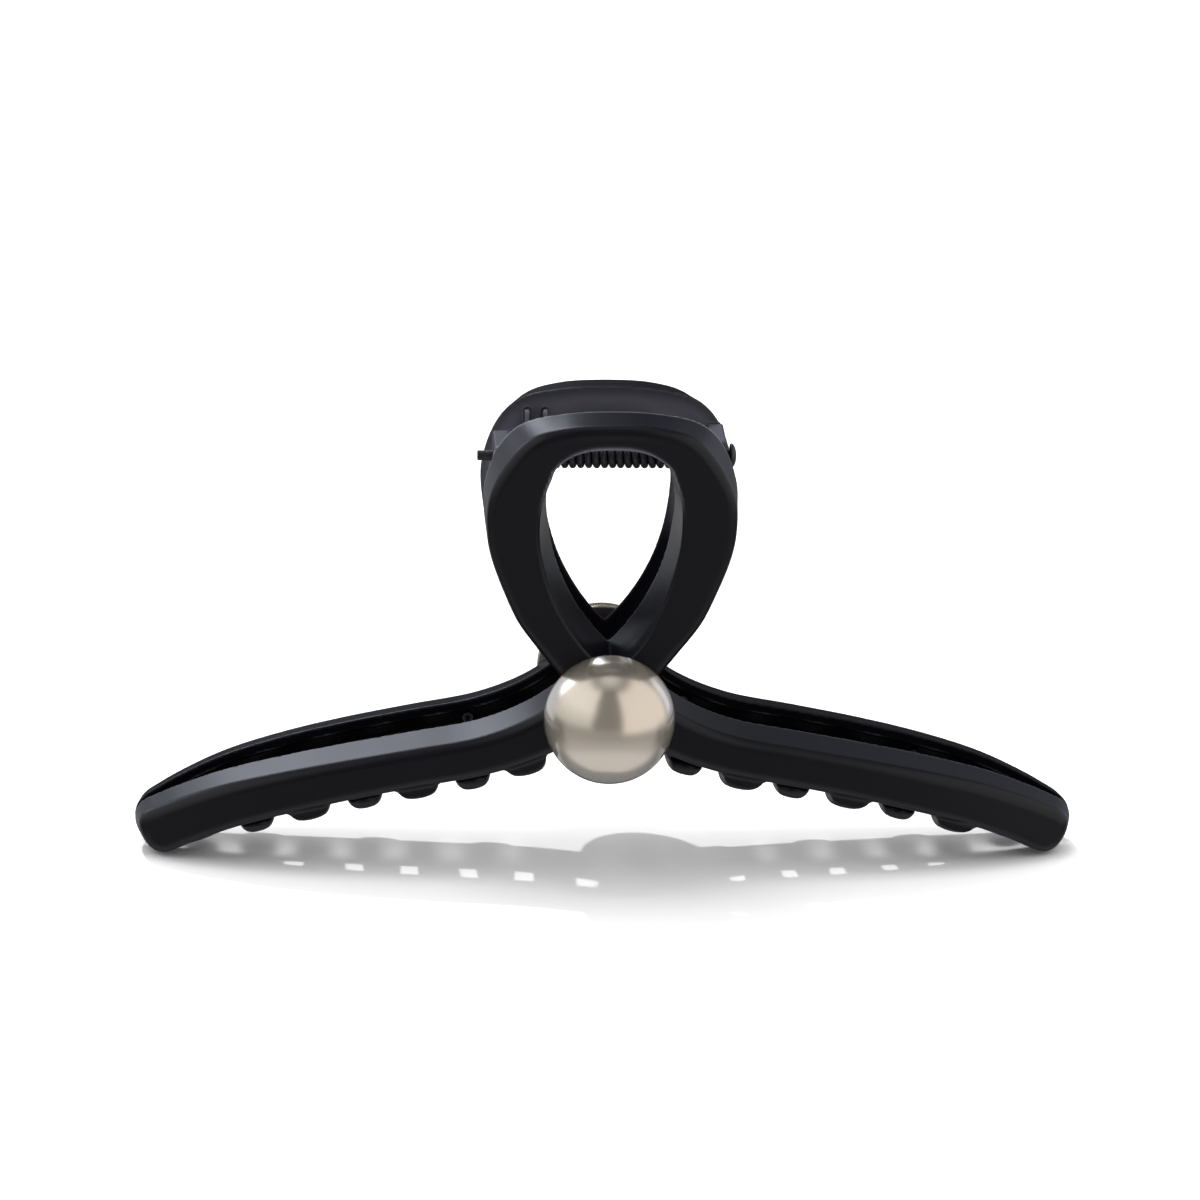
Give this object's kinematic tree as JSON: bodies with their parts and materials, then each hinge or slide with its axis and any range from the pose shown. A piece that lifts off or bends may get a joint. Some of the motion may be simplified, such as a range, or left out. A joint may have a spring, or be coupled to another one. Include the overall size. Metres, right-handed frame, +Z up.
{
  "type": "claw clip",
  "caption": "Large hair claw clip: two crossed-loop jaws with curved teeth on a sprung hinge pin, each with a half pearl on its crossing.",
  "frame": {"origin": "on the surface the clip stands on, under the middle of the hinge pin", "axes": "+X along the arms, -Y towards the front jaw, +Z up towards the handles; the clip is closed"},
  "size_m": [0.13, 0.0416, 0.0648],
  "materials": {
    "jaw_plastic": "soft-touch matte black moulded plastic",
    "pin_steel": "black-finished steel pin",
    "spring_steel": "black-finished spring wire",
    "pearl": "pearlescent champagne-grey coating under clear gloss"
  },
  "bodies": {
    "front_half": {"front_jaw": "jaw_plastic", "hinge_pin": "pin_steel", "torsion_spring": "spring_steel", "front_pearl": "pearl"},
    "rear_half": {"rear_jaw": "jaw_plastic", "rear_pearl": "pearl"}
  },
  "joints": [
    {"name": "jaw_hinge", "type": "hinge", "parent": "front_half", "child": "rear_half", "pos_m": [0, 0, 0.056], "axis": [1, 0, 0], "range_deg": [0, 70], "stiffness_Nm_per_rad": 0.07, "springref_deg": -68.75, "deforming": ["torsion_spring"]}
  ]
}
